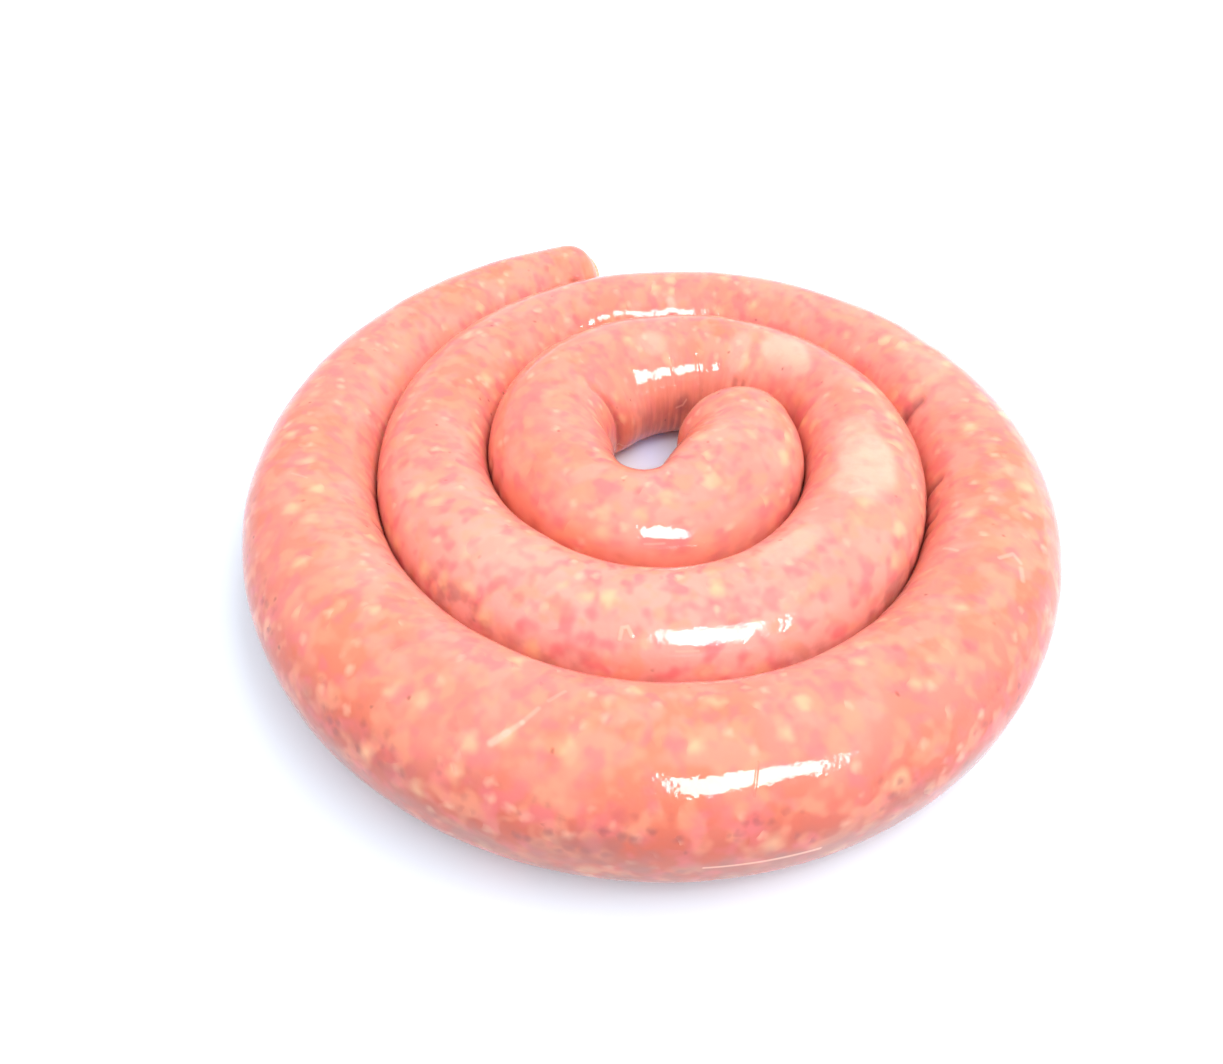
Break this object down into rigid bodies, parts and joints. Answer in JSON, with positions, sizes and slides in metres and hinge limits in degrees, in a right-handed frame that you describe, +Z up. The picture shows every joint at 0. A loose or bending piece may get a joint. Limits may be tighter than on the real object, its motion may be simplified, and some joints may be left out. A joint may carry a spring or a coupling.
{
  "type": "coiled raw sausage",
  "caption": "Raw pork sausage in a thin natural casing, coiled flat in a spiral with touching turns, a small open eye and rounded ends.",
  "frame": {"origin": "middle of the bounding box, at the floor that the coil lies on", "axes": "+Z up through the flat coil; the inner end lies on the +X side of the eye and points toward +Y, the outer end lies on the far, +Y, side; the sausage runs clockwise from inside to outside seen from above"},
  "size_m": [0.2152, 0.2296, 0.0373],
  "materials": {
    "coiled_sausage": "wet gloss"
  },
  "bodies": {
    "root": {"coiled_sausage": "coiled_sausage"}
  },
  "joints": []
}
